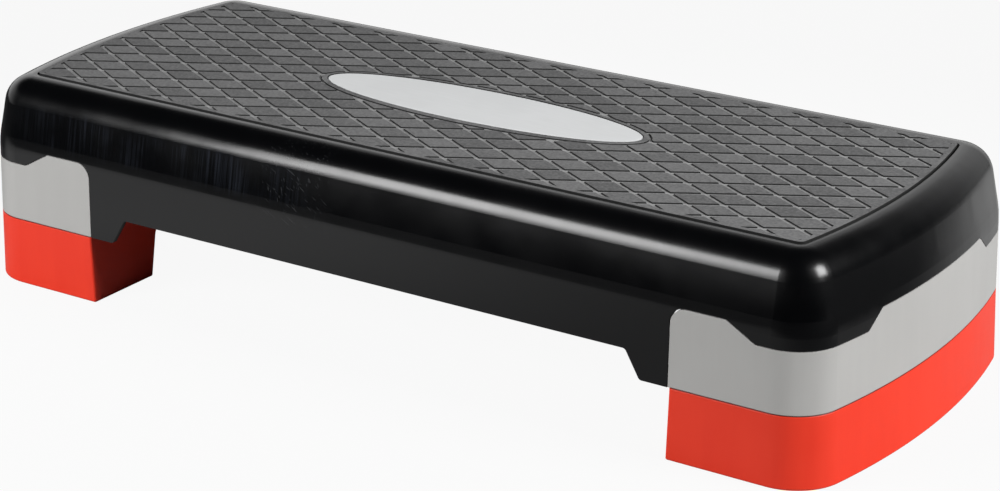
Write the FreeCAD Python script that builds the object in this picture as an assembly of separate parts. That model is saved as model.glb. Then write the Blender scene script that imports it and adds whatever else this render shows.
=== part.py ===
import FreeCAD
import Part
import math
import os
from FreeCAD import Vector

# Aerobic step platform on two pull-off risers, in millimetres.
# X runs along the length, -Y is the front and +Z is up.
# The origin is on the floor, under the middle of the platform.

# Overall sizes, at the level of the platform's own feet
PLATFORM_LENGTH = 684.2
PLATFORM_WIDTH = 280.0
DECK_HEIGHT = 97.6
RISER_HEIGHT = 48.8
END_BOW_RADIUS = 545.0
CORNER_RADIUS = 33.0

# Deck shell
DECK_WALL = 3.2
DECK_PLATE = 4.6
LOWER_WALL_LEAN = 1.5
UPPER_WALL_LEAN = 11.3
CREASE_HEIGHT = 54.0
CREASE_BLEND_RADIUS = 60.0
TOP_EDGE_RADIUS = 20.0
SKIRT_LIFT = 18.2
FOOT_TAB_WIDTH = 19.8
FOOT_TAB_SLANT = 10.8
FOOT_TAB_RADIUS = 3.0

# Ribs and screw bosses under the deck
DECK_RIB = 2.4
DECK_RIB_DEPTH = 26.0
LONG_RIB_SPACING = 62.0
CROSS_RIB_SPACING = 62.0
BOSS_WALL = 4.6

# End legs and the stepped seam between leg and deck
LEG_REACH = 112.4
LEG_HEIGHT = 52.4
LEG_WALL = 3.0
LEG_PLATE = 3.0
LEG_INNER_CORNER_RADIUS = 10.5
LEG_INNER_WALL_HEIGHT = 36.0
LEG_RIB_HEIGHT = 36.0
LEG_CROSS_RIB_INSET = 44.0
CORNER_TAB_DROP = 11.4
CORNER_TAB_RADIUS = 3.0
FRONT_TAB_START = 38.2
FRONT_TAB_SLANT = 20.3
END_TAB_REACH = 56.0
END_TAB_SLANT = 14.5
SEAM_GAP = 0.5
SEAM_CHAMFER = 0.6

# Screws from each leg into the deck, set in from the leg's inner face, the end and the sides
TOWER_WALL = 2.8
TOWER_HEIGHT = 44.0
TOWER_CAP = 4.0
HEAD_CLEARANCE = 0.8
INNER_TOWER_INSET = 17.0
INNER_TOWER_SIDE_INSET = 56.0
OUTER_TOWER_INSET = 23.0
OUTER_TOWER_HALF_SPACING = 54.0
SCREW_RADIUS = 2.4
SCREW_LENGTH = 22.0
SCREW_TIP = 3.0
SCREW_TIP_RADIUS = 0.6
SCREW_HEAD_RADIUS = 4.4
SCREW_HEAD_HEIGHT = 3.2
SCREW_DRIVE_WIDTH = 1.2
SCREW_DRIVE_LENGTH = 5.0
SCREW_DRIVE_DEPTH = 1.8
SCREW_CLEARANCE = 0.3
PILOT_CLEARANCE = 0.05
PILOT_SPARE_DEPTH = 2.0

# Risers
RISER_WALL = 3.0
RISER_PLATE = 4.2
RISER_RIB = 2.4
RISER_RIB_LIFT = 6.0
RISER_END_FLARE = 2.4
RISER_SIDE_FLARE = 0.2
RISER_INNER_SETBACK = 0.8
RISER_INNER_FLARE = 1.6
RISER_INNER_RADIUS = 1.8
RISER_RIM_RADIUS = 1.2
ARCH_SIDE_INSET = 60.4
ARCH_HEADER = 12.0
ARCH_SLANT = 8.0
ARCH_RADIUS = 8.0

# Posts on the risers and the sockets that they push into
POST_RADIUS = 9.0
POST_HEIGHT = 18.0
POST_CHAMFER = 1.5
POST_CLEARANCE = 0.3
POST_END_CLEARANCE = 2.0
SOCKET_WALL = 2.7
SOCKET_CAP = 2.5
POST_WALL = 2.5
POST_CAP = 3.0
COLUMN_SHOULDER = 3.0
INNER_POST_INSET = 24.0
INNER_POST_SIDE_INSET = 21.0
OUTER_POST_INSET = 30.0
OUTER_POST_SIDE_INSET = 43.0

# Rubber feet under the risers
FOOT_INSET = 1.0
FOOT_THICKNESS = 3.2
FOOT_STANDOFF = 0.5
FOOT_EDGE_RADIUS = 0.8
FOOT_STEM_LENGTH = 10.0
FOOT_STEM_CLEARANCE = 0.1

# Rubber pads under the legs, which nest in the riser's top plate
PAD_RADIUS = 9.0
PAD_PROUD = 1.5
PAD_EDGE_CHAMFER = 0.5
PAD_STEM_RADIUS = 4.0
PAD_STEM_LENGTH = 6.0
PAD_STEM_CLEARANCE = 0.1
PAD_POCKET_CLEARANCE = 0.6
INNER_PAD_INSET = 56.0
INNER_PAD_SIDE_INSET = 22.0
OUTER_PAD_INSET = 23.0
OUTER_PAD_HALF_SPACING = 22.0

# Tread mat in its recess
MAT_SIDE_MARGIN = 31.6
MAT_END_MARGIN = 30.4
MAT_CORNER_RADIUS = 4.4
MAT_THICKNESS = 2.0
MAT_GAP = 1.6
MAT_BORDER = 3.4
TILE_LENGTH = 38.44
TILE_WIDTH = 22.2
TILE_GROOVE = 2.8
TILE_HEIGHT = 0.9
TILE_DRAFT = 0.3
SMALLEST_TILE = 14.0

# Oval badge in the mat's raised surround
BADGE_LENGTH = 251.6
BADGE_WIDTH = 63.4
BADGE_THICKNESS = 1.5
BADGE_GAP = 0.7
BADGE_BEVEL_WIDTH = 1.6
BADGE_BEVEL_DEPTH = 0.35
SURROUND_RISE = 1.3
SURROUND_RIM = 0.8
SURROUND_SLOPE = 3.2
SURROUND_GROOVE = 2.0
BADGE_SINK = 0.1

# Levels and places that follow from the sizes above
HALF_LENGTH = PLATFORM_LENGTH / 2
HALF_WIDTH = PLATFORM_WIDTH / 2
DECK_TOP = RISER_HEIGHT + DECK_HEIGHT
DECK_UNDERSIDE = DECK_TOP - DECK_PLATE
CREASE_Z = RISER_HEIGHT + CREASE_HEIGHT
LEG_INNER_X = HALF_LENGTH - LEG_REACH
LEG_TOP = RISER_HEIGHT + LEG_HEIGHT
CORNER_TAB_Z = LEG_TOP - CORNER_TAB_DROP
TOWER_TOP = RISER_HEIGHT + TOWER_HEIGHT
SCREW_SEAT = TOWER_TOP - TOWER_CAP
TOWER_BORE_RADIUS = SCREW_HEAD_RADIUS + HEAD_CLEARANCE
COLUMN_RADIUS = POST_RADIUS + COLUMN_SHOULDER
COLUMN_BORE_RADIUS = POST_RADIUS - POST_WALL
ARCH_TOP = RISER_HEIGHT - ARCH_HEADER
MAT_FLOOR = DECK_TOP - MAT_THICKNESS
SURROUND_TOP = DECK_TOP + SURROUND_RISE
BADGE_TOP = SURROUND_TOP - BADGE_SINK
BADGE_FLOOR = BADGE_TOP - BADGE_THICKNESS

# Tools reach this far past what they cut
MARGIN = 10.0
REACH = PLATFORM_LENGTH

# Levels closer than this are the same
TOUCH = 1e-4

INNER_TOWER = (LEG_INNER_X + INNER_TOWER_INSET, HALF_WIDTH - INNER_TOWER_SIDE_INSET)
OUTER_TOWER = (HALF_LENGTH - OUTER_TOWER_INSET, OUTER_TOWER_HALF_SPACING)
INNER_POST = (LEG_INNER_X + INNER_POST_INSET, HALF_WIDTH - INNER_POST_SIDE_INSET)
OUTER_POST = (HALF_LENGTH - OUTER_POST_INSET, HALF_WIDTH - OUTER_POST_SIDE_INSET)
INNER_PAD = (LEG_INNER_X + INNER_PAD_INSET, HALF_WIDTH - INNER_PAD_SIDE_INSET)
OUTER_PAD = (HALF_LENGTH - OUTER_PAD_INSET, OUTER_PAD_HALF_SPACING)


def front_and_back(places):
    """The given (x, y) places and their mirror images across the length."""
    return [(x, sign * y) for x, y in places for sign in (-1, 1)]


TOWERS = front_and_back([INNER_TOWER, OUTER_TOWER])
POSTS = front_and_back([INNER_POST, OUTER_POST])
PADS = front_and_back([INNER_PAD, OUTER_PAD])


# Small helpers

def line(start, end):
    return Part.LineSegment(start, end).toShape()


def box(low, high):
    return Part.makeBox(high[0] - low[0], high[1] - low[1], high[2] - low[2], Vector(*low))


def rod(place, radius, low, high):
    return Part.makeCylinder(radius, high - low, Vector(place[0], place[1], low))


def loft(wires):
    return Part.makeLoft(wires, True, True)


def level_edges(shape, z):
    """The shape's edges that lie flat at one level."""
    return [edge for edge in shape.Edges
            if abs(edge.BoundBox.ZMin - z) < TOUCH and abs(edge.BoundBox.ZMax - z) < TOUCH]


def mirrored(shape):
    return shape.mirror(Vector(0, 0, 0), Vector(1, 0, 0))


def rounded_loop(corners, place):
    """Closed wire through (u, v, radius) corners, each rounded to its radius, put in space by place(u, v)."""
    stops = []
    for index, (u, v, radius) in enumerate(corners):
        here = Vector(u, v, 0)
        if radius == 0:
            stops.append((here, None, here))
            continue
        previous = corners[index - 1]
        following = corners[(index + 1) % len(corners)]
        back = (Vector(previous[0], previous[1], 0) - here).normalize()
        ahead = (Vector(following[0], following[1], 0) - here).normalize()
        half_angle = back.getAngle(ahead) / 2
        inward = (back + ahead).normalize()
        tangent = radius / math.tan(half_angle)
        middle = here + inward * (radius / math.sin(half_angle) - radius)
        stops.append((here + back * tangent, middle, here + ahead * tangent))
    edges = []
    for index, (first, middle, last) in enumerate(stops):
        if middle is not None:
            edges.append(Part.Arc(*(place(p.x, p.y) for p in (first, middle, last))).toShape())
        following = stops[(index + 1) % len(stops)][0]
        edges.append(line(place(last.x, last.y), place(following.x, following.y)))
    return Part.Wire(edges)


# Plan outline: straight sides, bowed ends and round corners

def plan(inset=0.0, end_flare=0.0, side_flare=0.0):
    """Half length, half width, corner radius and bow radius of the plan, moved in by an inset."""
    length = HALF_LENGTH + end_flare - inset
    width = HALF_WIDTH + side_flare - inset
    return length, width, CORNER_RADIUS + end_flare - inset, END_BOW_RADIUS - inset


def end_edges(z, sizes, side):
    """The corner arc, bowed arc and corner arc of one end, from front to back, on the side of X given."""
    half_length, half_width, corner_radius, bow_radius = sizes
    bow_x = half_length - bow_radius
    corner_y = half_width - corner_radius
    reach = bow_radius - corner_radius
    corner_x = bow_x + math.sqrt(reach ** 2 - corner_y ** 2)
    meeting = math.atan2(corner_y, corner_x - bow_x)
    middle = (math.pi / 2 + meeting) / 2

    def point(x, y):
        return Vector(side * x, y, z)

    def on_corner(angle):
        return corner_x + corner_radius * math.cos(angle), corner_y + corner_radius * math.sin(angle)

    meet_x, meet_y = on_corner(meeting)
    middle_x, middle_y = on_corner(middle)
    front = Part.Arc(point(corner_x, -half_width), point(middle_x, -middle_y), point(meet_x, -meet_y))
    bow = Part.Arc(point(meet_x, -meet_y), point(half_length, 0), point(meet_x, meet_y))
    back = Part.Arc(point(meet_x, meet_y), point(middle_x, middle_y), point(corner_x, half_width))
    return [arc.toShape() for arc in (front, bow, back)], corner_x


def platform_wire(z, sizes):
    """The whole plan as one closed wire."""
    right, corner_x = end_edges(z, sizes, 1)
    left, corner_x = end_edges(z, sizes, -1)
    half_width = sizes[1]
    front = line(Vector(-corner_x, -half_width, z), Vector(corner_x, -half_width, z))
    back = line(Vector(corner_x, half_width, z), Vector(-corner_x, half_width, z))
    return Part.Wire([front] + right + [back] + left[::-1])


def block_wire(z, sizes, inner_x, inner_radius):
    """The plan of the right end alone, closed by a straight inner face with rounded corners."""
    end, corner_x = end_edges(z, sizes, 1)
    half_width = sizes[1]
    turn_x = inner_x + inner_radius
    turn_y = half_width - inner_radius
    slack = inner_radius * (1 - math.sqrt(0.5))
    front = line(Vector(turn_x, -half_width, z), Vector(corner_x, -half_width, z))
    back = line(Vector(corner_x, half_width, z), Vector(turn_x, half_width, z))
    back_turn = Part.Arc(Vector(turn_x, half_width, z), Vector(inner_x + slack, half_width - slack, z),
                         Vector(inner_x, turn_y, z)).toShape()
    inner = line(Vector(inner_x, turn_y, z), Vector(inner_x, -turn_y, z))
    front_turn = Part.Arc(Vector(inner_x, -turn_y, z), Vector(inner_x + slack, slack - half_width, z),
                          Vector(turn_x, -half_width, z)).toShape()
    return Part.Wire([front] + end + [back, back_turn, inner, front_turn])


def deck_inset(z):
    """How far the outer wall stands in from the plan at a level."""
    lower = (min(z, CREASE_Z) - RISER_HEIGHT) * math.tan(math.radians(LOWER_WALL_LEAN))
    upper = max(z - CREASE_Z, 0) * math.tan(math.radians(UPPER_WALL_LEAN))
    return lower + upper


def deck_block(offset, bottom, top):
    """The deck's outer form as a solid, moved in by an offset, with its rounded top edge."""
    wires = [platform_wire(z, plan(deck_inset(z) + offset)) for z in (bottom, CREASE_Z, top)]
    block = loft(wires)
    return block.makeFillet(TOP_EDGE_RADIUS - offset, level_edges(block, top))


def deck_outer(bottom):
    """The deck's outer form, with the crease between its lower and upper wall blended."""
    block = deck_block(0.0, bottom, DECK_TOP)
    return block.makeFillet(CREASE_BLEND_RADIUS, level_edges(block, CREASE_Z))


def leg_window(low, grow):
    """The space of the right end leg, seen from the side and from the end, grown by half the seam."""
    far = HALF_LENGTH + MARGIN
    tab_x = LEG_INNER_X + FRONT_TAB_START
    side_corners = [
        (LEG_INNER_X - grow, low, 0),
        (LEG_INNER_X - grow, LEG_TOP + grow, LEG_INNER_CORNER_RADIUS),
        (tab_x, LEG_TOP + grow, CORNER_TAB_RADIUS),
        (tab_x + FRONT_TAB_SLANT, CORNER_TAB_Z + grow, CORNER_TAB_RADIUS),
        (far, CORNER_TAB_Z + grow, 0),
        (far, low, 0),
    ]
    tab_y = HALF_WIDTH - END_TAB_REACH
    peak_y = tab_y - END_TAB_SLANT
    end_low = CORNER_TAB_Z - MARGIN
    end_corners = [
        (-tab_y - MARGIN, end_low, 0),
        (-tab_y - MARGIN, CORNER_TAB_Z + grow, 0),
        (-tab_y, CORNER_TAB_Z + grow, CORNER_TAB_RADIUS),
        (-peak_y, LEG_TOP + grow, CORNER_TAB_RADIUS),
        (peak_y, LEG_TOP + grow, CORNER_TAB_RADIUS),
        (tab_y, CORNER_TAB_Z + grow, CORNER_TAB_RADIUS),
        (tab_y + MARGIN, CORNER_TAB_Z + grow, 0),
        (tab_y + MARGIN, end_low, 0),
    ]
    side_face = Part.Face(rounded_loop(side_corners, lambda u, v: Vector(u, -REACH, v)))
    end_face = Part.Face(rounded_loop(end_corners, lambda u, v: Vector(tab_x + FRONT_TAB_SLANT, u, v)))
    side_prism = side_face.extrude(Vector(0, 2 * REACH, 0))
    return side_prism.fuse(end_face.extrude(Vector(REACH, 0, 0)))


# Deck shell

def badge_oval(grow, z):
    """The badge's oval outline at a level, grown all round."""
    ellipse = Part.Ellipse(Vector(0, 0, z), BADGE_LENGTH / 2 + grow, BADGE_WIDTH / 2 + grow)
    return Part.Wire(ellipse.toShape())


def mat_wire(z, inset):
    """The mat's outline: straight sides, ends bowed with the platform's, small round corners."""
    length = HALF_LENGTH - MAT_END_MARGIN - inset
    width = HALF_WIDTH - MAT_SIDE_MARGIN - inset
    bow_radius = END_BOW_RADIUS - MAT_END_MARGIN - inset
    return platform_wire(z, (length, width, MAT_CORNER_RADIUS - inset, bow_radius))


def under_skirt():
    """What the skirt leaves open below its lower edge, and all that is below the foot tabs."""
    foot_x = LEG_INNER_X - FOOT_TAB_WIDTH
    skirt_x = foot_x - FOOT_TAB_SLANT
    skirt_z = RISER_HEIGHT + SKIRT_LIFT
    low = RISER_HEIGHT - 2 * MARGIN
    corners = [
        (-REACH, low, 0),
        (-REACH, RISER_HEIGHT, 0),
        (-foot_x, RISER_HEIGHT, FOOT_TAB_RADIUS),
        (-skirt_x, skirt_z, FOOT_TAB_RADIUS),
        (skirt_x, skirt_z, FOOT_TAB_RADIUS),
        (foot_x, RISER_HEIGHT, FOOT_TAB_RADIUS),
        (REACH, RISER_HEIGHT, 0),
        (REACH, low, 0),
    ]
    face = Part.Face(rounded_loop(corners, lambda u, v: Vector(u, -REACH, v)))
    return face.extrude(Vector(0, 2 * REACH, 0))


def deck_ribs():
    """Ribs along and across the underside of the deck."""
    low = DECK_UNDERSIDE - DECK_RIB_DEPTH
    high = MAT_FLOOR
    half = DECK_RIB / 2
    long_count = int((HALF_WIDTH - MAT_SIDE_MARGIN) / LONG_RIB_SPACING)
    cross_count = int((HALF_LENGTH - MAT_END_MARGIN) / CROSS_RIB_SPACING)
    ribs = []
    for step in range(-long_count, long_count + 1):
        y = step * LONG_RIB_SPACING
        ribs.append(box((-HALF_LENGTH, y - half, low), (HALF_LENGTH, y + half, high)))
    for step in range(-cross_count, cross_count + 1):
        x = step * CROSS_RIB_SPACING
        ribs.append(box((x - half, -HALF_WIDTH, low), (x + half, HALF_WIDTH, high)))
    return ribs


def deck_shell():
    bottom = RISER_HEIGHT - MARGIN
    outer = deck_outer(bottom)
    hollow = deck_block(DECK_WALL, bottom, DECK_UNDERSIDE)
    ends = [(sign * x, y) for x, y in TOWERS for sign in (-1, 1)]
    bosses = [rod(place, SCREW_RADIUS + BOSS_WALL, TOWER_TOP, MAT_FLOOR) for place in ends]
    ribs = deck_ribs()
    frame = ribs[0].fuse(ribs[1:] + bosses)
    shell = outer.cut(hollow).fuse(frame.common(outer))

    window = leg_window(RISER_HEIGHT - 2 * MARGIN, SEAM_GAP / 2)
    shell = shell.cut([under_skirt(), window, mirrored(window)])

    pilot_top = TOWER_TOP + SCREW_LENGTH - TOWER_CAP + PILOT_SPARE_DEPTH
    pilots = [rod(place, SCREW_RADIUS + PILOT_CLEARANCE, TOWER_TOP - MARGIN, pilot_top) for place in ends]
    recess = Part.Face(mat_wire(MAT_FLOOR, -MAT_GAP)).extrude(Vector(0, 0, MAT_THICKNESS + MARGIN))
    shell = shell.cut(pilots + [recess])

    plinth = Part.Face(badge_oval(0.0, MAT_FLOOR)).extrude(Vector(0, 0, BADGE_FLOOR - MAT_FLOOR))
    return shell.fuse(plinth).removeSplitter()


# Tread mat and badge

def surround(grow, top):
    """A block with the outline of the surround's foot, grown all round, up to a level."""
    foot = BADGE_GAP + SURROUND_RIM + SURROUND_SLOPE + grow
    return Part.Face(badge_oval(foot, MAT_FLOOR)).extrude(Vector(0, 0, top - MAT_FLOOR))


def rhombus(x, y, z, inset):
    """Rhombic outline about a place, with its sides moved in by an inset."""
    half_length = TILE_LENGTH / 2
    half_width = TILE_WIDTH / 2
    apothem = half_length * half_width / math.hypot(half_length, half_width)
    share = 1 - inset / apothem
    across = half_length * share
    along = half_width * share
    right = Vector(x + across, y, z)
    left = Vector(x - across, y, z)
    return Part.makePolygon([right, Vector(x, y + along, z), left, Vector(x, y - along, z), right])


def tread_mat():
    top = DECK_TOP + TILE_HEIGHT
    hole = Part.Face(badge_oval(BADGE_GAP, MAT_FLOOR)).extrude(Vector(0, 0, MARGIN))
    base = Part.Face(mat_wire(MAT_FLOOR, 0.0)).extrude(Vector(0, 0, MAT_THICKNESS))
    rim = badge_oval(BADGE_GAP + SURROUND_RIM, SURROUND_TOP)
    slope = loft([badge_oval(BADGE_GAP + SURROUND_RIM + SURROUND_SLOPE, top), rim])
    field = Part.Face(mat_wire(DECK_TOP - MARGIN, MAT_BORDER)).extrude(Vector(0, 0, 2 * MARGIN))
    border = Part.Face(mat_wire(DECK_TOP, 0.0)).extrude(Vector(0, 0, TILE_HEIGHT)).cut(field)

    columns = int(HALF_LENGTH / (TILE_LENGTH / 2)) + 1
    rows = int(HALF_WIDTH / (TILE_WIDTH / 2)) + 1
    tiles = []
    for column in range(-columns, columns + 1):
        for row in range(-rows, rows + 1):
            if (column + row) % 2:
                continue
            x = column * TILE_LENGTH / 2
            y = row * TILE_WIDTH / 2
            low = rhombus(x, y, DECK_TOP, TILE_GROOVE / 2)
            high = rhombus(x, y, top, TILE_GROOVE / 2 + TILE_DRAFT)
            tiles.append(loft([low, high]))
    kept = Part.Compound(tiles).common(field.cut(surround(SURROUND_GROOVE, DECK_TOP + MARGIN)))
    wanted = [tile for tile in kept.Solids if tile.Volume > SMALLEST_TILE * TILE_HEIGHT]
    return base.fuse([border, surround(0.0, top), slope] + wanted).cut(hole).removeSplitter()


def badge_plate():
    shoulder = BADGE_TOP - BADGE_BEVEL_DEPTH
    plate = Part.Face(badge_oval(0.0, BADGE_FLOOR)).extrude(Vector(0, 0, shoulder - BADGE_FLOOR))
    bevel = loft([badge_oval(0.0, shoulder), badge_oval(-BADGE_BEVEL_WIDTH, BADGE_TOP)])
    return plate.fuse(bevel).removeSplitter()


# End legs, made on the right and mirrored to the left

def leg_ribs():
    """Upright ribs along X through the screw towers and down the middle, and one rib across them."""
    low = RISER_HEIGHT
    high = RISER_HEIGHT + LEG_RIB_HEIGHT
    half = LEG_WALL / 2
    start_x = LEG_INNER_X + LEG_WALL
    cross_x = LEG_INNER_X + LEG_CROSS_RIB_INSET
    rows = [y for x, y in TOWERS] + [0.0]
    ribs = [box((start_x, y - half, low), (HALF_LENGTH, y + half, high)) for y in rows]
    ribs.append(box((cross_x - half, -HALF_WIDTH, low), (cross_x + half, HALF_WIDTH, high)))
    return ribs


def end_leg():
    outer = deck_outer(RISER_HEIGHT)
    outer = outer.makeChamfer(SEAM_CHAMFER, level_edges(outer, RISER_HEIGHT))
    low = RISER_HEIGHT - MARGIN
    wires = [platform_wire(z, plan(deck_inset(z) + LEG_WALL)) for z in (low, CREASE_Z, DECK_TOP)]
    core = loft(wires)
    window = leg_window(low, -SEAM_GAP / 2)
    wall = outer.cut(core).common(window)

    inner_x = LEG_INNER_X + SEAM_GAP / 2
    floor = block_wire(RISER_HEIGHT, plan(LEG_WALL / 2), inner_x, LEG_WALL / 2)
    plate = Part.Face(floor).extrude(Vector(0, 0, LEG_PLATE))
    half_width = HALF_WIDTH - LEG_WALL / 2
    inner_wall = box((inner_x, -half_width, RISER_HEIGHT),
                     (inner_x + LEG_WALL, half_width, RISER_HEIGHT + LEG_INNER_WALL_HEIGHT))
    socket_top = RISER_HEIGHT + POST_HEIGHT + POST_END_CLEARANCE + SOCKET_CAP
    socket_radius = POST_RADIUS + POST_CLEARANCE + SOCKET_WALL
    sockets = [rod(place, socket_radius, RISER_HEIGHT, socket_top) for place in POSTS]
    tower_radius = TOWER_BORE_RADIUS + TOWER_WALL
    towers = [rod(place, tower_radius, RISER_HEIGHT, TOWER_TOP) for place in TOWERS]
    inside = Part.Compound(leg_ribs()).common(core)
    leg = wall.fuse([plate, inner_wall] + sockets + towers + inside.Solids)

    bores = [rod(place, POST_RADIUS + POST_CLEARANCE, low, socket_top - SOCKET_CAP) for place in POSTS]
    bores += [rod(place, TOWER_BORE_RADIUS, low, SCREW_SEAT) for place in TOWERS]
    bores += [rod(place, SCREW_RADIUS + SCREW_CLEARANCE, low, TOWER_TOP + MARGIN) for place in TOWERS]
    bores += [rod(place, PAD_STEM_RADIUS + PAD_STEM_CLEARANCE, low, RISER_HEIGHT + LEG_PLATE + MARGIN)
              for place in PADS]
    return leg.cut(bores).removeSplitter()


def leg_screw(place):
    """One screw, head down in its tower, with a cross drive."""
    head = rod(place, SCREW_HEAD_RADIUS, SCREW_SEAT - SCREW_HEAD_HEIGHT, SCREW_SEAT)
    tip_z = SCREW_SEAT + SCREW_LENGTH
    shank = rod(place, SCREW_RADIUS, SCREW_SEAT, tip_z - SCREW_TIP)
    tip = Part.makeCone(SCREW_RADIUS, SCREW_TIP_RADIUS, SCREW_TIP, Vector(*place, tip_z - SCREW_TIP))
    drive_low = SCREW_SEAT - SCREW_HEAD_HEIGHT - MARGIN
    drive_high = SCREW_SEAT - SCREW_HEAD_HEIGHT + SCREW_DRIVE_DEPTH
    drives = []
    reach = SCREW_DRIVE_LENGTH / 2
    half = SCREW_DRIVE_WIDTH / 2
    for across, along in ((reach, half), (half, reach)):
        low = (place[0] - across, place[1] - along, drive_low)
        high = (place[0] + across, place[1] + along, drive_high)
        drives.append(box(low, high))
    return head.fuse([shank, tip]).cut(drives)


def leg_pad(place):
    """One rubber pad: a disc under the leg and a stem through its plate."""
    low = RISER_HEIGHT - PAD_PROUD
    disc = rod(place, PAD_RADIUS, low, RISER_HEIGHT)
    disc = disc.makeChamfer(PAD_EDGE_CHAMFER, level_edges(disc, low))
    stem = rod(place, PAD_STEM_RADIUS, RISER_HEIGHT, RISER_HEIGHT + PAD_STEM_LENGTH)
    return disc.fuse(stem).removeSplitter()


# Risers, made on the right and mirrored to the left

def riser_section(z, inset):
    """The riser's outline at a level: it flares a little towards the floor."""
    drop = (RISER_HEIGHT - z) / RISER_HEIGHT
    sizes = plan(inset, RISER_END_FLARE * drop, RISER_SIDE_FLARE * drop)
    inner_x = LEG_INNER_X + RISER_INNER_SETBACK - RISER_INNER_FLARE * drop + inset
    return block_wire(z, sizes, inner_x, RISER_INNER_RADIUS)


def riser_ribs():
    """Ribs beside the arch, and webs from these through the columns to the side walls."""
    low = FOOT_STANDOFF + RISER_RIB_LIFT
    high = RISER_HEIGHT - RISER_PLATE / 2
    half = RISER_RIB / 2
    rib_y = HALF_WIDTH - ARCH_SIDE_INSET + RISER_RIB
    ribs = []
    for sign in (-1, 1):
        ribs.append(box((0, sign * rib_y - half, low), (REACH, sign * rib_y + half, high)))
        near, far = sorted((sign * rib_y, sign * REACH))
        for x, y in (INNER_POST, OUTER_POST):
            ribs.append(box((x - half, near, low), (x + half, far, high)))
    return ribs


def arch():
    """The opening in the riser's inner face."""
    foot_y = HALF_WIDTH - ARCH_SIDE_INSET
    slope = ARCH_SLANT / ARCH_TOP
    low_y = foot_y + MARGIN * slope
    corners = [
        (-low_y, -MARGIN, 0),
        (-foot_y + ARCH_SLANT, ARCH_TOP, ARCH_RADIUS),
        (foot_y - ARCH_SLANT, ARCH_TOP, ARCH_RADIUS),
        (low_y, -MARGIN, 0),
    ]
    face = Part.Face(rounded_loop(corners, lambda u, v: Vector(0, u, v)))
    return face.extrude(Vector(LEG_INNER_X + RISER_INNER_SETBACK + RISER_WALL + RISER_INNER_RADIUS, 0, 0))


def riser():
    shoulder = riser_section(RISER_HEIGHT - SEAM_CHAMFER, 0.0)
    outer = loft([riser_section(FOOT_STANDOFF, 0.0), shoulder, riser_section(RISER_HEIGHT, SEAM_CHAMFER)])
    outer = outer.makeFillet(RISER_RIM_RADIUS, level_edges(outer, FOOT_STANDOFF))
    underside = RISER_HEIGHT - RISER_PLATE
    hollow = loft([riser_section(z, RISER_WALL) for z in (FOOT_STANDOFF - MARGIN, underside)])
    filling = loft([riser_section(z, RISER_WALL / 2) for z in (FOOT_STANDOFF, RISER_HEIGHT)])

    ribs = Part.Compound(riser_ribs()).common(filling)
    in_plate = RISER_HEIGHT - RISER_PLATE / 2
    columns = [rod(place, COLUMN_RADIUS, FOOT_THICKNESS, in_plate) for place in POSTS]
    posts = []
    post_top = RISER_HEIGHT + POST_HEIGHT
    for place in POSTS:
        post = rod(place, POST_RADIUS, in_plate, post_top)
        posts.append(post.makeChamfer(POST_CHAMFER, level_edges(post, post_top)))
    body = outer.cut(hollow).fuse(ribs.Solids + columns + posts)

    bores = [rod(place, COLUMN_BORE_RADIUS, -MARGIN, post_top - POST_CAP) for place in POSTS]
    pocket_floor = RISER_HEIGHT - PAD_PROUD - PAD_POCKET_CLEARANCE
    pocket_radius = PAD_RADIUS + PAD_POCKET_CLEARANCE
    pockets = [rod(place, pocket_radius, pocket_floor, RISER_HEIGHT + MARGIN) for place in PADS]
    return body.cut([arch()] + bores + pockets).removeSplitter()


def riser_foot(place):
    """One rubber foot: a disc under a column and a stem in its bore."""
    disc = rod(place, COLUMN_RADIUS - FOOT_INSET, 0, FOOT_THICKNESS)
    disc = disc.makeFillet(FOOT_EDGE_RADIUS, level_edges(disc, 0))
    stem_top = FOOT_THICKNESS + FOOT_STEM_LENGTH
    stem = rod(place, COLUMN_BORE_RADIUS - FOOT_STEM_CLEARANCE, FOOT_THICKNESS, stem_top)
    return disc.fuse(stem).removeSplitter()


# Every piece, by its name

def all_pieces():
    pieces = {"deck_shell": deck_shell(), "tread_mat": tread_mat(), "badge_plate": badge_plate()}
    right = {"end_leg": end_leg(), "riser": riser()}
    right["leg_screws"] = Part.Compound([leg_screw(place) for place in TOWERS])
    corners = ("inner_front", "inner_back", "outer_front", "outer_back")
    for corner, post, pad in zip(corners, POSTS, PADS):
        right["riser_foot_" + corner] = riser_foot(post)
        right["leg_pad_" + corner] = leg_pad(pad)
    for name, shape in right.items():
        pieces["right_" + name] = shape
        pieces["left_" + name] = mirrored(shape)
    return pieces


os.makedirs("parts", exist_ok=True)
for name, shape in all_pieces().items():
    shape.exportStep("parts/" + name + ".step")
    print(name, len(shape.Solids), "solid(s), valid", shape.isValid(), "volume mm3", round(shape.Volume))
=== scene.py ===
import math

import bpy
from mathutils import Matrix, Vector


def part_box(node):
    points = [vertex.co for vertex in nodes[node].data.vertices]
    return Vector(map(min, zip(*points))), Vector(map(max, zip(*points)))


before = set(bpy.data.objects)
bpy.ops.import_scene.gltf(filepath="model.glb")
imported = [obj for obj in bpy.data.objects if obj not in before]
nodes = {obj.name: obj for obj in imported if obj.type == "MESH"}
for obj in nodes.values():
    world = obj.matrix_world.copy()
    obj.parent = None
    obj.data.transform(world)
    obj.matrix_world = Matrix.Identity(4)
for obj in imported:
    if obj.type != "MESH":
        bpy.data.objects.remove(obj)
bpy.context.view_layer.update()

# Looks of an aerobic step platform: black deck, charcoal tread mat, grey end legs and red risers.
# Metres, with X along the length, -Y at the front and +Z up. Colours are linear RGBA.
# The scale of a texture is in cells per metre, and a stretch draws it out along X, Y and Z.

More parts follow.
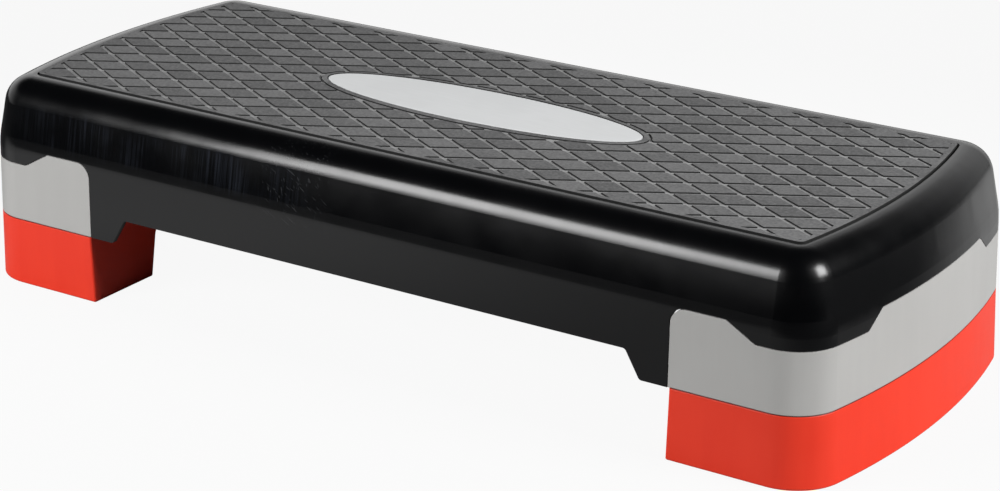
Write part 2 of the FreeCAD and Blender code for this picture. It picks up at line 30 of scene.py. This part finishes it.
# The mat's groove floors, level with the deck's top, and the tiles that stand above them. Tiles differ a
# little in tone. A face gets painted shade as a tile wall where its normal's Z is below the first value,
# and doesn't where it is above the second. The groove floors are paler with a painted sheen.
GROOVE_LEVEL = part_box("deck_shell")[1].z
TILE_HEIGHT = 0.0009
TILE_LENGTH = 0.03844
TILE_WIDTH = 0.0222
TILE_TONES = (-0.06, 0.06)
TILE_WALL_SHADE_FACING = (0.45, 0.80)

# Painted shade in the joint between legs and risers, and dirt in specks on them
JOINT_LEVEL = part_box("left_end_leg")[0].z
JOINT_REACH = 0.0007
JOINT_SHADE = 0.9
SPECK_DIRT = 0.4

# Rounding of moulded edges
EDGE_RADIUS = 0.0007
EDGE_SAMPLES = 6

# Camera: the photograph's view
CAMERA_PLACE = Vector((0.9840, -1.4598, 0.7226))
CAMERA_FORWARD = Vector((-0.51605, 0.77803, -0.35828))
CAMERA_LENS = 98.88
SENSOR_WIDTH = 36.0

# Floor: pale around the object, darkened further out by painted shade, and white where it is seen straight
FLOOR_RADIUS = 12.0
FLOOR_SIDES = 128
FLOOR_COLOUR = (0.34, 0.34, 0.34, 1)
FLOOR_FAR_SHADE_COLOUR = (0.05, 0.05, 0.05, 1)
FLOOR_PALE_REACH = (0.40, 0.70)
FLOOR_ROUGHNESS = 0.9
FLOOR_GLOSS = 0.1
FLOOR_WHITE_SHARE = 0.93

# Pools of the floor that are white in reflections too: place in stretched space, reach and stretch
FRONT_POOL = (-0.42, -0.74, 0)
FRONT_POOL_REACH = 0.56
FRONT_POOL_SHAPE = (1.0, 0.5, 1.0)
BACK_POOL = (0.40, 0.40, 0)
BACK_POOL_REACH = 0.44
BACK_POOL_SHAPE = (1.0, 4.0, 1.0)

# Room: a low backdrop that fades with height and to the sides, and dim light all round
BACKDROP_AZIMUTH = 140.0
BACKDROP_LIGHT = 1.15
BACKDROP_FADE_UP = (0.34, 0.60)
BACKDROP_FADE_IN = (0.10, 0.85)
BACKGROUND_WHITE = 0.90
ROOM_LIGHT = 0.008

# Worn places on the deck: rubbed streaks and scratches on the front wall, and dust with a painted sheen on
# one end
STREAK_MIDDLE = -0.165
STREAK_REACH = 0.15
STREAK_LEVEL = 0.120
STREAK_DROP = 0.018
SCRATCH_PLACE = (-0.055, -0.134, 0.122)
SCRATCH_REACH = 0.045
DUST_AND_SHEEN_PLACE = (0.332, 0.130, 0.112)
DUST_AND_SHEEN_REACH = 0.16
DUST_AND_SHEEN_TOP = (0.124, 0.142)
WIPED_SHARE = 0.45
FRONT_LINES = (1, 40, 40)
END_LINES = (40, 1, 40)

# The deck's walls grow duller upwards and to the right
HAZE_LEVELS = (0.106, 0.134)
HAZE_ENDS = (-0.30, 0.30)
LOW_ROUGHNESS = 0.11
LEFT_ROUGHNESS = 0.15
RIGHT_ROUGHNESS = 0.23
CLOUD_ROUGHNESS = 0.04

# Depths of sink marks, waves, grain and other relief that is too fine for the solids
SINK_DEPTH = 0.00018
PEEL_DEPTH = 0.000006
MAT_GRAIN_DEPTH = 0.00016
WAVE_DEPTH = 0.00012
SATIN_GRAIN_DEPTH = 0.00002
BADGE_GRAIN_DEPTH = 0.000012
RUBBER_GRAIN_DEPTH = 0.00008

# Gloss: the specular level of each material
DECK_GLOSS = 0.33
MAT_GLOSS = 0.25
LEG_GLOSS = 0.40
RISER_GLOSS = 0.26
BADGE_GLOSS = 0.30

# Roughness: the range that each material's texture runs through
MAT_ROUGHNESS = (0.74, 0.86)
LEG_ROUGHNESS = (0.36, 0.46)
RISER_ROUGHNESS = (0.38, 0.48)
BADGE_ROUGHNESS = (0.68, 0.76)
RUBBER_ROUGHNESS = (0.66, 0.82)
ZINC_ROUGHNESS = (0.24, 0.40)

# Colours, in pairs where a texture runs from one to the other
DECK_BLACK = (0.0011, 0.0012, 0.0015, 1)
DECK_RUBBED = (0.0100, 0.0115, 0.0155, 1)
# Dust and painted sheen on the far half of the right end
DECK_DUST_AND_SHEEN = (0.030, 0.0305, 0.0305, 1)
DECK_MARKS = (0.024, 0.025, 0.027, 1)
TILE_GREYS = (0.066, 0.066, 0.067, 1), (0.166, 0.166, 0.167, 1)
# Groove floors: paler greys that are a painted sheen
GROOVE_SHEEN_GREYS = (0.232, 0.232, 0.232, 1), (0.350, 0.350, 0.349, 1)
# Tile walls: painted shade on the upright faces of the mat
TILE_WALL_SHADE_COLOUR = (0.010, 0.010, 0.010, 1)
LEG_GREYS = (0.330, 0.327, 0.318, 1), (0.350, 0.347, 0.338, 1)
RISER_REDS = (0.630, 0.029, 0.011, 1), (0.670, 0.036, 0.014, 1)
# Dirt in specks, and the painted shade in the leg-riser joint
DIRT_AND_JOINT_SHADE_COLOUR = (0.030, 0.013, 0.011, 1)
BADGE_GREYS = (0.555, 0.563, 0.566, 1), (0.600, 0.608, 0.612, 1)
RUBBER_BLACKS = (0.014, 0.014, 0.014, 1), (0.034, 0.033, 0.032, 1)
ZINC_GREYS = (0.52, 0.51, 0.48, 1), (0.68, 0.67, 0.66, 1)


# Node helpers

def new_material(name):
    """A new material, with its node tree and its main shader."""
    made = bpy.data.materials.new(name)
    made.use_nodes = True
    return made, made.node_tree, made.node_tree.nodes["Principled BSDF"]


def put(tree, socket, value):
    """Sets a socket to a value, or links it to another socket."""
    if isinstance(value, bpy.types.NodeSocket):
        tree.links.new(value, socket)
    else:
        socket.default_value = value


def add(tree, kind, values=None, **settings):
    """A new node with its settings and input values."""
    made = tree.nodes.new("ShaderNode" + kind)
    for name, value in settings.items():
        setattr(made, name, value)
    for name, value in (values or {}).items():
        put(tree, made.inputs[name], value)
    return made


def place_in(tree, stretch=(1, 1, 1), turn=(0, 0, 0)):
    """The place on the object, for a texture that is turned and then drawn out along its axes."""
    place = add(tree, "TexCoord").outputs["Object"]
    values = {"Vector": place, "Scale": stretch, "Rotation": turn}
    return add(tree, "Mapping", values, vector_type="TEXTURE").outputs["Vector"]


def split(tree, vector):
    """The X, Y and Z of a vector."""
    return add(tree, "SeparateXYZ", {"Vector": vector}).outputs


def noise(tree, place, scale, detail=3.0, rough=0.55):
    values = {"Vector": place, "Scale": scale, "Detail": detail, "Roughness": rough}
    return add(tree, "TexNoise", values).outputs["Fac"]


def span(tree, value, low, high, to_low=0.0, to_high=1.0):
    """A value carried from one range to another, held at the ends."""
    values = {"Value": value, "From Min": low, "From Max": high, "To Min": to_low, "To Max": to_high}
    return add(tree, "MapRange", values, interpolation_type="SMOOTHSTEP").outputs["Result"]


def fade(tree, value, full, gone):
    """One up to a value, fading to nothing at a larger one."""
    return span(tree, value, full, gone, 1.0, 0.0)


def calc(tree, operation, first, second=0.0):
    made = add(tree, "Math", operation=operation)
    put(tree, made.inputs[0], first)
    put(tree, made.inputs[1], second)
    return made.outputs["Value"]


def product(tree, *factors):
    made = factors[0]
    for factor in factors[1:]:
        made = calc(tree, "MULTIPLY", made, factor)
    return made


def average(tree, first, second, second_share=0.5):
    """Two values mixed by shares that add up to one."""
    return calc(tree, "ADD", product(tree, first, 1 - second_share), product(tree, second, second_share))


def measure(tree, operation, first, second=(0, 0, 0)):
    """A length, distance or product of vectors."""
    made = add(tree, "VectorMath", operation=operation)
    put(tree, made.inputs[0], first)
    put(tree, made.inputs[1], second)
    return made.outputs["Value"]


def blend(tree, share, first, second):
    """A colour between two colours, which are inputs 6 and 7 of the node."""
    made = add(tree, "Mix", data_type="RGBA")
    put(tree, made.inputs[0], share)
    put(tree, made.inputs[6], first)
    put(tree, made.inputs[7], second)
    return made.outputs[2]


def bump(tree, height, distance, below):
    """Raises the surface by a height texture of the given depth, on top of other normals."""
    values = {"Height": height, "Strength": 1.0, "Distance": distance, "Normal": below}
    return add(tree, "Bump", values).outputs["Normal"]


def soft_edges(tree):
    """Normals that round the edges of a moulding."""
    return add(tree, "Bevel", {"Radius": EDGE_RADIUS}, samples=EDGE_SAMPLES).outputs["Normal"]


def near(tree, place, middle, reach, full_share=0.3):
    """One at a place, fading to nothing at a reach from it."""
    return fade(tree, measure(tree, "DISTANCE", place, middle), reach * full_share, reach)


def beside(tree, value, middle, reach, full_share=0.4):
    """One at a value, fading to nothing at a reach to either side of it."""
    away = calc(tree, "ABSOLUTE", calc(tree, "SUBTRACT", value, middle))
    return fade(tree, away, reach * full_share, reach)


def specks(tree, scale, size, share, core=0.5, step=0.01):
    """Small round specks: a share of the cells of a Voronoi texture."""
    cells = add(tree, "TexVoronoi", {"Vector": place_in(tree), "Scale": scale})
    close = fade(tree, cells.outputs["Distance"], size * core, size)
    chance = add(tree, "SeparateColor", {"Color": cells.outputs["Color"]}).outputs["Red"]
    kept = span(tree, chance, 1 - share, 1 - share + step)
    return product(tree, close, kept)


def comb(tree, stretch):
    """Close lines: noise that changes along one axis alone."""
    return span(tree, noise(tree, place_in(tree, stretch), scale=700.0, detail=2.0), 0.40, 0.70)


def hairlines(tree, turn, scale, length):
    """Thin straight marks: noise drawn out along one direction, kept only at its crests."""
    drawn = place_in(tree, (length, 1, 1), (0, turn, 0))
    return span(tree, noise(tree, drawn, scale, detail=1.0), 0.68, 0.76)


# Deck

def deck_streaks(tree, spot, patchy):
    """Upright lines rubbed into the left of the wall."""
    across = beside(tree, spot["X"], STREAK_MIDDLE, STREAK_REACH)
    level = beside(tree, spot["Z"], STREAK_LEVEL, STREAK_DROP)
    return product(tree, comb(tree, FRONT_LINES), patchy, across, level)


def deck_dust_and_sheen(tree, place, spot, patchy):
    """Wiped dust with a painted sheen on the far half of the right end."""
    dust_and_sheen_near = near(tree, place, DUST_AND_SHEEN_PLACE, DUST_AND_SHEEN_REACH)
    low = fade(tree, spot["Z"], *DUST_AND_SHEEN_TOP)
    wiped = span(tree, calc(tree, "ADD", patchy, comb(tree, END_LINES)), 0.0, 2.0, WIPED_SHARE, 1.0)
    return product(tree, dust_and_sheen_near, low, wiped)


def deck_marks(tree, place):
    """Scratches at one place on the front, and specks all over."""
    leaning = hairlines(tree, turn=0.5, scale=1000.0, length=18.0)
    steep = hairlines(tree, turn=1.3, scale=900.0, length=14.0)
    worn = near(tree, place, SCRATCH_PLACE, SCRATCH_REACH)
    scratches = product(tree, calc(tree, "MAXIMUM", leaning, steep), worn)
    return calc(tree, "MAXIMUM", scratches, specks(tree, scale=190.0, size=0.05, share=0.012))


def deck_haze(tree, place, spot):
    """Roughness that changes with height, along the length and in clouds."""
    top = span(tree, spot["X"], *HAZE_ENDS, LEFT_ROUGHNESS, RIGHT_ROUGHNESS)
    wall = span(tree, spot["Z"], *HAZE_LEVELS, LOW_ROUGHNESS, top)
    clouds = span(tree, noise(tree, place, scale=30.0), 0.30, 0.70, 0.0, CLOUD_ROUGHNESS)
    return calc(tree, "ADD", wall, clouds)


def deck_plastic():
    """Black moulding with rubbed streaks, dust with a painted sheen on one end, a scratched place, uneven
    gloss and sink marks.
    """
    made, tree, shader = new_material("deck_plastic")
    place = place_in(tree)
    spot = split(tree, place)
    patchy = span(tree, noise(tree, place, scale=22.0), 0.32, 0.60)
    rubbed = blend(tree, deck_streaks(tree, spot, patchy), DECK_BLACK, DECK_RUBBED)
    # Dust and painted sheen: a paler veil on the right end
    dust_and_sheen_laid = blend(tree, deck_dust_and_sheen(tree, place, spot, patchy), rubbed, DECK_DUST_AND_SHEEN)
    put(tree, shader.inputs["Base Color"], blend(tree, deck_marks(tree, place), dust_and_sheen_laid, DECK_MARKS))
    put(tree, shader.inputs["Roughness"], deck_haze(tree, place, spot))
    put(tree, shader.inputs["Specular IOR Level"], DECK_GLOSS)
    sink = noise(tree, place_in(tree, (1, 1, 4)), scale=22.0, detail=2.0)
    peel = noise(tree, place, scale=900.0, detail=2.0)
    normal = bump(tree, sink, SINK_DEPTH, soft_edges(tree))
    put(tree, shader.inputs["Normal"], bump(tree, peel, PEEL_DEPTH, normal))
    return made


# Mat

def tile_chance(tree, spot):
    """A random value for each tile of the mat."""
    across = calc(tree, "DIVIDE", spot["X"], TILE_LENGTH)
    along = calc(tree, "DIVIDE", spot["Y"], TILE_WIDTH)
    first = calc(tree, "ROUND", calc(tree, "ADD", across, along))
    second = calc(tree, "ROUND", calc(tree, "SUBTRACT", across, along))
    cell = add(tree, "CombineXYZ", {"X": first, "Y": second}).outputs["Vector"]
    return add(tree, "TexWhiteNoise", {"Vector": cell}).outputs["Value"]


def mat_rubber():
    """Charcoal rubber: grained tile tops that differ a little, grooves made paler by a painted sheen and
    tile walls darkened by painted shade.
    """
    made, tree, shader = new_material("mat_rubber")
    place = place_in(tree)
    spot = split(tree, place)
    fine = noise(tree, place_in(tree, (3, 1, 1)), scale=1100.0, rough=0.7)
    coarse = noise(tree, place, scale=480.0, rough=0.65)
    grain = average(tree, fine, coarse)
    tone = calc(tree, "ADD", grain, span(tree, tile_chance(tree, spot), 0.0, 1.0, *TILE_TONES))
    top = blend(tree, span(tree, tone, 0.30, 0.70), *TILE_GREYS)
    # Painted sheen: the groove floors are paler than the tile tops
    groove_sheen = blend(tree, span(tree, grain, 0.32, 0.68), *GROOVE_SHEEN_GREYS)
    groove = fade(tree, spot["Z"], GROOVE_LEVEL, GROOVE_LEVEL + TILE_HEIGHT / 2)
    facing = add(tree, "NewGeometry").outputs["True Normal"]
    # Painted shade: upright faces take the dark tile wall colour
    wall = fade(tree, split(tree, facing)["Z"], *TILE_WALL_SHADE_FACING)
    lying = blend(tree, groove, top, groove_sheen)
    put(tree, shader.inputs["Base Color"], blend(tree, wall, lying, TILE_WALL_SHADE_COLOUR))
    put(tree, shader.inputs["Roughness"], span(tree, grain, 0.30, 0.70, *MAT_ROUGHNESS))
    put(tree, shader.inputs["Specular IOR Level"], MAT_GLOSS)
    put(tree, shader.inputs["Normal"], bump(tree, grain, MAT_GRAIN_DEPTH, facing))
    return made


# Legs, risers and small pieces

def satin_plastic(name, colours, roughness, gloss):
    """Satin moulding: faint flow streaks and clouds, fine texture, a few dirt specks and painted shade in
    the joint.
    """
    made, tree, shader = new_material(name)
    place = place_in(tree)
    flow = noise(tree, place_in(tree, (1, 1, 10)), scale=95.0, detail=4.0)
    cloud = noise(tree, place, scale=11.0)
    body = blend(tree, span(tree, average(tree, flow, cloud, 0.65), 0.32, 0.68), *colours)
    # Painted shade: a dark line where the leg meets the riser
    joint = beside(tree, split(tree, place)["Z"], JOINT_LEVEL, JOINT_REACH, full_share=0.0)
    spotted = product(tree, specks(tree, scale=150.0, size=0.05, share=0.02), SPECK_DIRT)
    dirt_and_joint_shade = calc(tree, "MAXIMUM", spotted, product(tree, joint, JOINT_SHADE))
    put(tree, shader.inputs["Base Color"], blend(tree, dirt_and_joint_shade, body, DIRT_AND_JOINT_SHADE_COLOUR))
    put(tree, shader.inputs["Roughness"], span(tree, cloud, 0.30, 0.75, *roughness))
    put(tree, shader.inputs["Specular IOR Level"], gloss)
    wave = noise(tree, place_in(tree, (1, 1, 3.3)), scale=26.0, detail=2.0)
    fine = noise(tree, place, scale=2600.0, detail=2.0)
    normal = bump(tree, wave, WAVE_DEPTH, soft_edges(tree))
    put(tree, shader.inputs["Normal"], bump(tree, fine, SATIN_GRAIN_DEPTH, normal))
    return made


def badge_plastic():
    """Bare satin plate with a fine lengthwise grain."""
    made, tree, shader = new_material("badge_plastic")
    grain = noise(tree, place_in(tree, (25, 1, 1)), scale=1800.0)
    cloud = noise(tree, place_in(tree), scale=16.0)
    body = blend(tree, span(tree, average(tree, grain, cloud), 0.32, 0.68), *BADGE_GREYS)
    put(tree, shader.inputs["Base Color"], body)
    put(tree, shader.inputs["Roughness"], span(tree, cloud, 0.30, 0.70, *BADGE_ROUGHNESS))
    put(tree, shader.inputs["Specular IOR Level"], BADGE_GLOSS)
    put(tree, shader.inputs["Normal"], bump(tree, grain, BADGE_GRAIN_DEPTH, soft_edges(tree)))
    return made


def foot_rubber():
    """Dull black rubber with a fine grain and pale dust."""
    made, tree, shader = new_material("foot_rubber")
    grain = noise(tree, place_in(tree), scale=1400.0, detail=4.0, rough=0.65)
    put(tree, shader.inputs["Base Color"], blend(tree, span(tree, grain, 0.30, 0.80), *RUBBER_BLACKS))
    put(tree, shader.inputs["Roughness"], span(tree, grain, 0.20, 0.80, *RUBBER_ROUGHNESS))
    put(tree, shader.inputs["Normal"], bump(tree, grain, RUBBER_GRAIN_DEPTH, soft_edges(tree)))
    return made


def screw_steel():
    """Zinc plate with fine turned lines and dull patches."""
    made, tree, shader = new_material("screw_steel")
    cloud = noise(tree, place_in(tree), scale=420.0)
    lines = noise(tree, place_in(tree, (1, 1, 0.07)), scale=700.0, detail=2.0)
    put(tree, shader.inputs["Base Color"], blend(tree, span(tree, cloud, 0.30, 0.70), *ZINC_GREYS))
    put(tree, shader.inputs["Metallic"], 1.0)
    put(tree, shader.inputs["Roughness"], span(tree, lines, 0.30, 0.70, *ZINC_ROUGHNESS))
    return made


def wear(obj, material):
    """Gives an object one material all over."""
    obj.data.materials.clear()
    obj.data.materials.append(material)


def dress():
    """Every node takes the material of its kind."""
    by_ending = {
        "deck_shell": deck_plastic(),
        "tread_mat": mat_rubber(),
        "badge_plate": badge_plastic(),
        "end_leg": satin_plastic("leg_plastic", LEG_GREYS, LEG_ROUGHNESS, LEG_GLOSS),
        "riser": satin_plastic("riser_plastic", RISER_REDS, RISER_ROUGHNESS, RISER_GLOSS),
        "leg_screws": screw_steel(),
    }
    rubber = foot_rubber()
    for name, obj in nodes.items():
        kinds = [ending for ending in by_ending if name.endswith(ending)]
        wear(obj, by_ending[kinds[0]] if kinds else rubber)


# Studio

def seen_straight(tree):
    """One for rays that come from the camera, also through glass."""
    path = add(tree, "LightPath").outputs
    return calc(tree, "MAXIMUM", path["Is Camera Ray"], path["Is Transmission Ray"])


def floor_paint():
    """Pale paint that looks white around the object and still takes its shadow, with painted shade further
    out.
    """
    made, tree, shader = new_material("floor_paint")
    pale = fade(tree, measure(tree, "LENGTH", place_in(tree)), *FLOOR_PALE_REACH)
    # Painted shade: the floor's colour darkens away from the object
    put(tree, shader.inputs["Base Color"], blend(tree, pale, FLOOR_FAR_SHADE_COLOUR, FLOOR_COLOUR))
    put(tree, shader.inputs["Roughness"], FLOOR_ROUGHNESS)
    put(tree, shader.inputs["Specular IOR Level"], FLOOR_GLOSS)
    front_pool = near(tree, place_in(tree, FRONT_POOL_SHAPE), FRONT_POOL, FRONT_POOL_REACH)
    back_pool = near(tree, place_in(tree, BACK_POOL_SHAPE), BACK_POOL, BACK_POOL_REACH)
    glossy = add(tree, "LightPath").outputs["Is Glossy Ray"]
    mirrored = product(tree, glossy, calc(tree, "MAXIMUM", front_pool, back_pool))
    shown = calc(tree, "MAXIMUM", seen_straight(tree), mirrored)
    mix = add(tree, "MixShader")
    put(tree, mix.inputs[0], product(tree, shown, FLOOR_WHITE_SHARE))
    put(tree, mix.inputs[1], shader.outputs["BSDF"])
    put(tree, mix.inputs[2], add(tree, "Emission").outputs["Emission"])
    put(tree, tree.nodes["Material Output"].inputs["Surface"], mix.outputs["Shader"])
    return made


def floor():
    mesh = bpy.data.meshes.new("floor")
    corners = []
    for side in range(FLOOR_SIDES):
        angle = 2 * math.pi * side / FLOOR_SIDES
        corners.append((FLOOR_RADIUS * math.cos(angle), FLOOR_RADIUS * math.sin(angle), 0))
    mesh.from_pydata(corners, [], [list(range(FLOOR_SIDES))])
    obj = bpy.data.objects.new("floor", mesh)
    bpy.context.scene.collection.objects.link(obj)
    wear(obj, floor_paint())


def softbox(name, place, target, width, height, watts):
    lamp = bpy.data.lights.new(name, "AREA")
    lamp.shape = "RECTANGLE"
    lamp.size = width
    lamp.size_y = height
    lamp.energy = watts
    obj = bpy.data.objects.new(name, lamp)
    obj.location = place
    obj.rotation_euler = (Vector(target) - Vector(place)).to_track_quat("-Z", "Y").to_euler()
    bpy.context.scene.collection.objects.link(obj)


def lamps():
    """A large box at the right end and a smaller one at the front left."""
    right_target = (0.1, 0, 0.1)
    left_target = (-0.1, 0, 0.1)
    softbox("key_box", (2.30, 0.20, 1.32), right_target, width=0.95, height=1.20, watts=97)
    softbox("front_box", (-0.73, -1.50, 0.77), left_target, width=0.80, height=0.72, watts=35)


def room():
    """A pale backdrop behind the object, fading out above and to the sides of a dim room."""
    world = bpy.data.worlds.new("studio")
    bpy.context.scene.world = world
    world.use_nodes = True
    tree = world.node_tree
    direction = add(tree, "TexCoord").outputs["Generated"]
    azimuth = math.radians(BACKDROP_AZIMUTH)
    towards = (math.cos(azimuth), math.sin(azimuth), 0)
    behind = span(tree, measure(tree, "DOT_PRODUCT", direction, towards), *BACKDROP_FADE_IN)
    low = fade(tree, split(tree, direction)["Z"], *BACKDROP_FADE_UP)
    light = calc(tree, "ADD", product(tree, low, behind, BACKDROP_LIGHT), ROOM_LIGHT)
    shown = calc(tree, "MAXIMUM", light, product(tree, seen_straight(tree), BACKGROUND_WHITE))
    put(tree, tree.nodes["Background"].inputs["Color"], shown)


def camera():
    data = bpy.data.cameras.new("camera")
    data.sensor_width = SENSOR_WIDTH
    data.lens = CAMERA_LENS
    obj = bpy.data.objects.new("camera", data)
    obj.location = CAMERA_PLACE
    obj.rotation_euler = CAMERA_FORWARD.to_track_quat("-Z", "Y").to_euler()
    bpy.context.scene.collection.objects.link(obj)
    bpy.context.scene.camera = obj


dress()
floor()
room()
lamps()
camera()
bpy.context.scene.view_settings.view_transform = "Standard"
